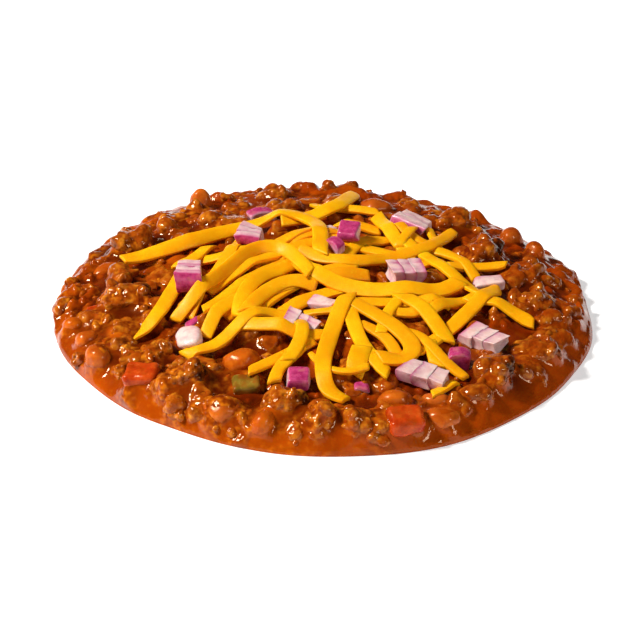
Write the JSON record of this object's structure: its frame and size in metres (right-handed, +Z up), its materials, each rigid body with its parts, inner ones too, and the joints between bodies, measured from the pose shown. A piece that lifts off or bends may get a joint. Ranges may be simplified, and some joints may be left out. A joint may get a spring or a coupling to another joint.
{
  "type": "chili con carne",
  "caption": "Low round of thick red-brown chili with meat, beans and pepper dice, topped with a tangle of cheese shreds and red onion dice.",
  "frame": {"origin": "middle of the flat underside of the chili", "axes": "+Z up, -Y towards the eater, +X to the right of someone who looks along +Y"},
  "size_m": [0.175, 0.1708, 0.0213],
  "materials": {
    "sauce": "wet, glossy red-brown tomato and chili sauce",
    "meat": "crumbled minced meat coated in wet sauce",
    "bean": "smooth bean skin, wet with sauce",
    "red_dice": "wet, slightly translucent tomato and red pepper",
    "green_dice": "cooked green pepper, wet",
    "onion": "raw red onion, moist, magenta skin side and pale pink-white flesh",
    "cheese": "soft, slightly waxy yellow-orange cheese"
  },
  "bodies": {
    "root": {"stew": "sauce", "cheese_heap": "cheese", "meat_01": "meat", "meat_02": "meat", "meat_03": "meat", "meat_04": "meat", "meat_05": "meat", "meat_06": "meat", "meat_07": "meat", "meat_08": "meat", "meat_09": "meat", "meat_10": "meat", "meat_11": "meat", "meat_12": "meat", "meat_13": "meat", "meat_14": "meat", "meat_15": "meat", "meat_16": "meat", "meat_17": "meat", "meat_18": "meat", "meat_19": "meat", "meat_20": "meat", "bean_01": "bean", "bean_02": "bean", "bean_03": "bean", "bean_04": "bean", "bean_05": "bean", "bean_06": "bean", "bean_07": "bean", "bean_08": "bean", "bean_09": "bean", "bean_10": "bean", "bean_11": "bean", "bean_12": "bean", "bean_13": "bean", "tomato_dice": "red_dice", "pepper_red": "red_dice", "pepper_red_small": "red_dice", "pepper_green": "green_dice", "onion_01": "onion", "onion_02": "onion", "onion_03": "onion", "onion_04": "onion", "onion_05": "onion", "onion_06": "onion", "onion_07": "onion", "onion_08": "onion", "onion_09": "onion", "onion_10": "onion", "onion_11": "onion", "onion_12": "onion", "onion_13": "onion", "onion_14": "onion", "onion_15": "onion", "onion_16": "onion", "onion_17": "onion", "onion_18": "onion", "onion_19": "onion", "onion_20": "onion"}
  },
  "joints": []
}
